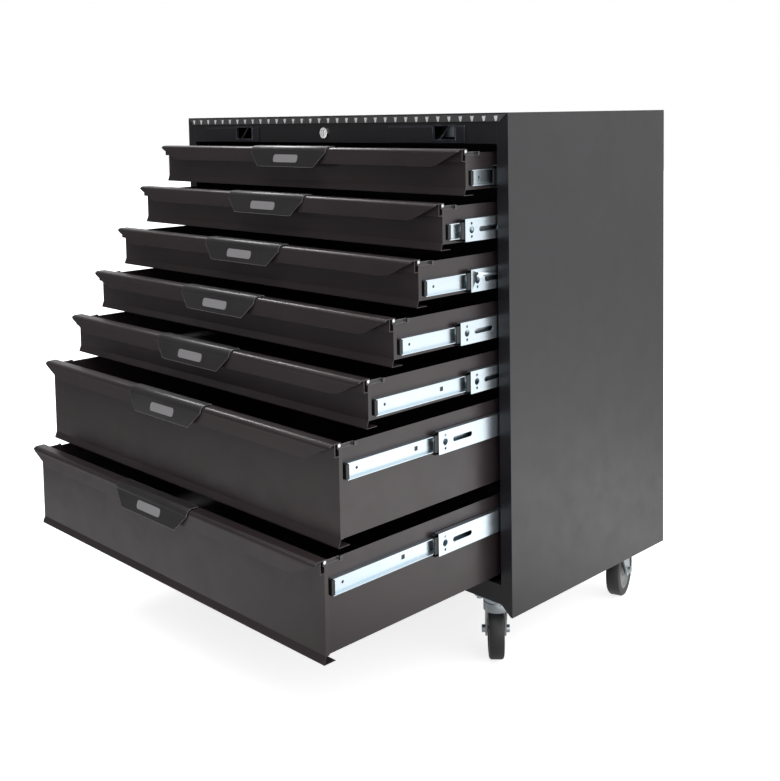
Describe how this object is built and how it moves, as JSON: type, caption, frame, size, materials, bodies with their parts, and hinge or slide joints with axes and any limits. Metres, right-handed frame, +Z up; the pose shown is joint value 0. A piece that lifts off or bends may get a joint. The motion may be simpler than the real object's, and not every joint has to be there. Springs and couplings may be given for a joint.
{
  "type": "rolling tool cabinet",
  "caption": "Rolling tool cabinet with shallow and deep drawers on telescopic slides, latching handle bars, one lock for all drawers and swivel casters.",
  "frame": {"origin": "on the floor, under the middle of the box that holds the cabinet with its drawers pulled out as in the picture", "axes": "+X to the right across the cabinet seen from its front, +Y to its back, +Z up"},
  "size_m": [0.882, 0.8694, 0.938],
  "materials": {
    "black_coat": "satin black powder coat",
    "front_coat": "satin black powder coat, slightly finer than the carcass",
    "zinc": "bright zinc plate",
    "chrome": "polished chrome",
    "bright_trim": "bright anodised strip",
    "dark_trim": "dark grey moulded strip",
    "latch_plastic": "black moulded cap on a zinc rod",
    "wheel": "black rubber tyre on a grey hub"
  },
  "bodies": {
    "cabinet": {"left_side_panel": "black_coat", "right_side_panel": "black_coat", "back_panel": "black_coat", "top_panel": "black_coat", "bottom_panel": "black_coat", "top_rail": "black_coat", "slide_uprights": "black_coat", "outer_slides": "zinc", "edge_trim": "dark_trim", "trim_strip": "bright_trim", "accessory_plates": "black_coat", "lock_barrel": "chrome", "caster_plates": "zinc"},
    "lock_plug": {"lock_plug": "chrome"},
    "lock_link": {"lock_link": "zinc"},
    "lock_bar": {"lock_bar": "zinc"},
    "middle_1": {"drawer_1_middle_slides": "zinc"},
    "drawer_1": {"drawer_1_box": "front_coat", "drawer_1_handle": "front_coat", "drawer_1_inner_slides": "zinc"},
    "latch_1": {"drawer_1_latch": "latch_plastic"},
    "middle_2": {"drawer_2_middle_slides": "zinc"},
    "drawer_2": {"drawer_2_box": "front_coat", "drawer_2_handle": "front_coat", "drawer_2_inner_slides": "zinc"},
    "latch_2": {"drawer_2_latch": "latch_plastic"},
    "middle_3": {"drawer_3_middle_slides": "zinc"},
    "drawer_3": {"drawer_3_box": "front_coat", "drawer_3_handle": "front_coat", "drawer_3_inner_slides": "zinc"},
    "latch_3": {"drawer_3_latch": "latch_plastic"},
    "middle_4": {"drawer_4_middle_slides": "zinc"},
    "drawer_4": {"drawer_4_box": "front_coat", "drawer_4_handle": "front_coat", "drawer_4_inner_slides": "zinc"},
    "latch_4": {"drawer_4_latch": "latch_plastic"},
    "middle_5": {"drawer_5_middle_slides": "zinc"},
    "drawer_5": {"drawer_5_box": "front_coat", "drawer_5_handle": "front_coat", "drawer_5_inner_slides": "zinc"},
    "latch_5": {"drawer_5_latch": "latch_plastic"},
    "middle_6": {"drawer_6_middle_slides": "zinc"},
    "drawer_6": {"drawer_6_box": "front_coat", "drawer_6_handle": "front_coat", "drawer_6_inner_slides": "zinc"},
    "latch_6": {"drawer_6_latch": "latch_plastic"},
    "middle_7": {"drawer_7_middle_slides": "zinc"},
    "drawer_7": {"drawer_7_box": "front_coat", "drawer_7_handle": "front_coat", "drawer_7_inner_slides": "zinc"},
    "latch_7": {"drawer_7_latch": "latch_plastic"},
    "fork_front_left": {"caster_front_left_fork": "zinc"},
    "wheel_front_left": {"caster_front_left_wheel": "wheel"},
    "fork_front_right": {"caster_front_right_fork": "zinc"},
    "wheel_front_right": {"caster_front_right_wheel": "wheel"},
    "fork_rear_left": {"caster_rear_left_fork": "zinc"},
    "wheel_rear_left": {"caster_rear_left_wheel": "wheel"},
    "fork_rear_right": {"caster_rear_right_fork": "zinc"},
    "wheel_rear_right": {"caster_rear_right_wheel": "wheel"}
  },
  "joints": [
    {"name": "drawer_1_rear_slide", "type": "slide", "parent": "cabinet", "child": "middle_1", "axis": [0, -1, 0], "range_m": [-0.018, 0.172]},
    {"name": "drawer_1_front_slide", "type": "slide", "parent": "middle_1", "child": "drawer_1", "axis": [0, -1, 0], "range_m": [-0.057, 0.16]},
    {"name": "drawer_1_latch_hinge", "type": "hinge", "parent": "drawer_1", "child": "latch_1", "pos_m": [0, -0.0953, 0.878], "axis": [-1, 0, 0], "range_deg": [-3, 14], "stiffness_Nm_per_rad": 0.4},
    {"name": "drawer_2_rear_slide", "type": "slide", "parent": "cabinet", "child": "middle_2", "axis": [0, -1, 0], "range_m": [-0.097, 0.093]},
    {"name": "drawer_2_front_slide", "type": "slide", "parent": "middle_2", "child": "drawer_2", "axis": [0, -1, 0], "range_m": [-0.033, 0.184]},
    {"name": "drawer_2_latch_hinge", "type": "hinge", "parent": "drawer_2", "child": "latch_2", "pos_m": [0, -0.1503, 0.7965], "axis": [-1, 0, 0], "range_deg": [-3, 14], "stiffness_Nm_per_rad": 0.4},
    {"name": "drawer_3_rear_slide", "type": "slide", "parent": "cabinet", "child": "middle_3", "axis": [0, -1, 0], "range_m": [-0.0845, 0.1055]},
    {"name": "drawer_3_front_slide", "type": "slide", "parent": "middle_3", "child": "drawer_3", "axis": [0, -1, 0], "range_m": [-0.1005, 0.1165]},
    {"name": "drawer_3_latch_hinge", "type": "hinge", "parent": "drawer_3", "child": "latch_3", "pos_m": [0, -0.2053, 0.715], "axis": [-1, 0, 0], "range_deg": [-3, 14], "stiffness_Nm_per_rad": 0.4},
    {"name": "drawer_4_rear_slide", "type": "slide", "parent": "cabinet", "child": "middle_4", "axis": [0, -1, 0], "range_m": [-0.111, 0.079]},
    {"name": "drawer_4_front_slide", "type": "slide", "parent": "middle_4", "child": "drawer_4", "axis": [0, -1, 0], "range_m": [-0.129, 0.088]},
    {"name": "drawer_4_latch_hinge", "type": "hinge", "parent": "drawer_4", "child": "latch_4", "pos_m": [0, -0.2603, 0.6335], "axis": [-1, 0, 0], "range_deg": [-3, 14], "stiffness_Nm_per_rad": 0.4},
    {"name": "drawer_5_rear_slide", "type": "slide", "parent": "cabinet", "child": "middle_5", "axis": [0, -1, 0], "range_m": [-0.0885, 0.1015]},
    {"name": "drawer_5_front_slide", "type": "slide", "parent": "middle_5", "child": "drawer_5", "axis": [0, -1, 0], "range_m": [-0.2055, 0.0115]},
    {"name": "drawer_5_latch_hinge", "type": "hinge", "parent": "drawer_5", "child": "latch_5", "pos_m": [0, -0.3143, 0.552], "axis": [-1, 0, 0], "range_deg": [-3, 14], "stiffness_Nm_per_rad": 0.4},
    {"name": "drawer_6_rear_slide", "type": "slide", "parent": "cabinet", "child": "middle_6", "axis": [0, -1, 0], "range_m": [-0.165, 0.025]},
    {"name": "drawer_6_front_slide", "type": "slide", "parent": "middle_6", "child": "drawer_6", "axis": [0, -1, 0], "range_m": [-0.188, 0.029]},
    {"name": "drawer_6_latch_hinge", "type": "hinge", "parent": "drawer_6", "child": "latch_6", "pos_m": [0, -0.3733, 0.4705], "axis": [-1, 0, 0], "range_deg": [-3, 14], "stiffness_Nm_per_rad": 0.4},
    {"name": "drawer_7_rear_slide", "type": "slide", "parent": "cabinet", "child": "middle_7", "axis": [0, -1, 0], "range_m": [-0.1685, 0.0215]},
    {"name": "drawer_7_front_slide", "type": "slide", "parent": "middle_7", "child": "drawer_7", "axis": [0, -1, 0], "range_m": [-0.2165, 0.0005]},
    {"name": "drawer_7_latch_hinge", "type": "hinge", "parent": "drawer_7", "child": "latch_7", "pos_m": [0, -0.4053, 0.3095], "axis": [-1, 0, 0], "range_deg": [-3, 14], "stiffness_Nm_per_rad": 0.4},
    {"name": "lock_turn", "type": "hinge", "parent": "cabinet", "child": "lock_plug", "pos_m": [0, -0.0253, 0.906], "axis": [0, 1, 0], "range_deg": [-2, 92]},
    {"name": "lock_link_slide", "type": "slide", "parent": "cabinet", "child": "lock_link", "axis": [1, 0, 0], "range_m": [-0.0005, 0.0085]},
    {"name": "lock_bar_slide", "type": "slide", "parent": "cabinet", "child": "lock_bar", "axis": [0, 0, 1], "range_m": [0, 0.005]},
    {"name": "swivel_front_left", "type": "hinge", "parent": "cabinet", "child": "fork_front_left", "pos_m": [-0.383, 0.0027, 0.108], "axis": [0, 0, 1], "continuous": true},
    {"name": "roll_front_left", "type": "hinge", "parent": "fork_front_left", "child": "wheel_front_left", "pos_m": [-0.3639, 0.02318, 0.05], "axis": [-0.7314, 0.682, 0], "continuous": true},
    {"name": "swivel_front_right", "type": "hinge", "parent": "cabinet", "child": "fork_front_right", "pos_m": [0.383, 0.0027, 0.108], "axis": [0, 0, 1], "continuous": true},
    {"name": "roll_front_right", "type": "hinge", "parent": "fork_front_right", "child": "wheel_front_right", "pos_m": [0.3639, 0.02318, 0.05], "axis": [-0.7314, -0.682, 0], "continuous": true},
    {"name": "swivel_rear_left", "type": "hinge", "parent": "cabinet", "child": "fork_rear_left", "pos_m": [-0.383, 0.3567, 0.108], "axis": [0, 0, 1], "continuous": true},
    {"name": "roll_rear_left", "type": "hinge", "parent": "fork_rear_left", "child": "wheel_rear_left", "pos_m": [-0.37435, 0.38333, 0.05], "axis": [-0.9511, 0.309, 0], "continuous": true},
    {"name": "swivel_rear_right", "type": "hinge", "parent": "cabinet", "child": "fork_rear_right", "pos_m": [0.383, 0.3567, 0.108], "axis": [0, 0, 1], "continuous": true},
    {"name": "roll_rear_right", "type": "hinge", "parent": "fork_rear_right", "child": "wheel_rear_right", "pos_m": [0.37435, 0.38333, 0.05], "axis": [-0.9511, -0.309, 0], "continuous": true}
  ],
  "couplings": [
    {"joint": "lock_link_slide", "follows": "lock_bar_slide", "ratio": 1.6},
    {"joint": "lock_turn", "follows": "lock_bar_slide", "rad_per_m": 314.16}
  ]
}
